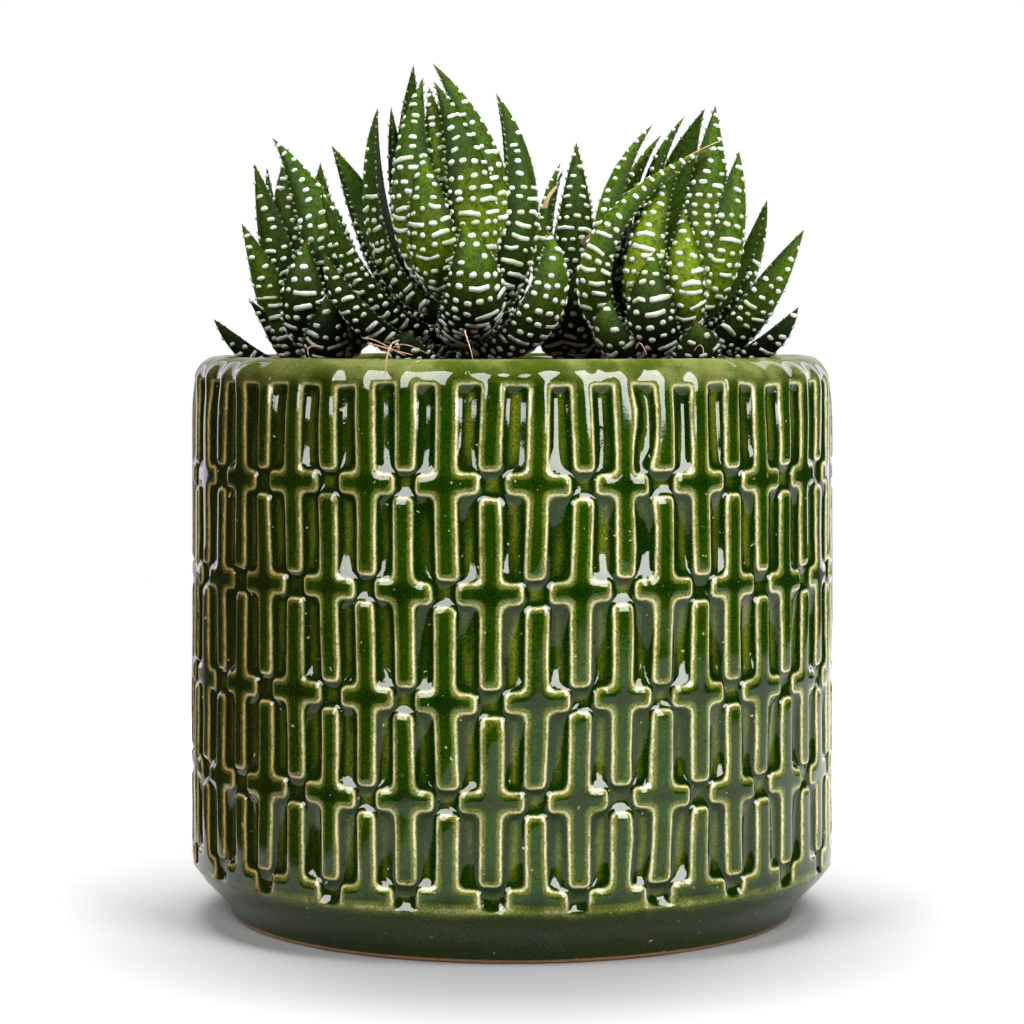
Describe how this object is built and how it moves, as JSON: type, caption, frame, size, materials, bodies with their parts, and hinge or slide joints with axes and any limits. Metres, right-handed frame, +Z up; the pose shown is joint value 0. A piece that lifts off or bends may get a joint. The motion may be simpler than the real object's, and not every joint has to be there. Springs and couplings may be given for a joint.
{
  "type": "potted haworthia",
  "caption": "Clump of pointed, white-banded succulent rosettes growing in a round glazed pot with raised bars and crosses.",
  "frame": {"origin": "centre of the pot's foot, on the surface it stands on", "axes": "+Z up; -Y is the side the picture shows; +X to the right seen from there"},
  "size_m": [0.141, 0.141, 0.185],
  "materials": {
    "glaze": "gloss",
    "potting_mix": "matte",
    "leaf": "satin"
  },
  "bodies": {
    "root": {"pot": "glaze", "soil": "potting_mix", "rosette_centre": "leaf", "rosette_left": "leaf", "rosette_right": "leaf", "rosette_middle": "leaf", "rosette_rear": "leaf"}
  },
  "joints": []
}
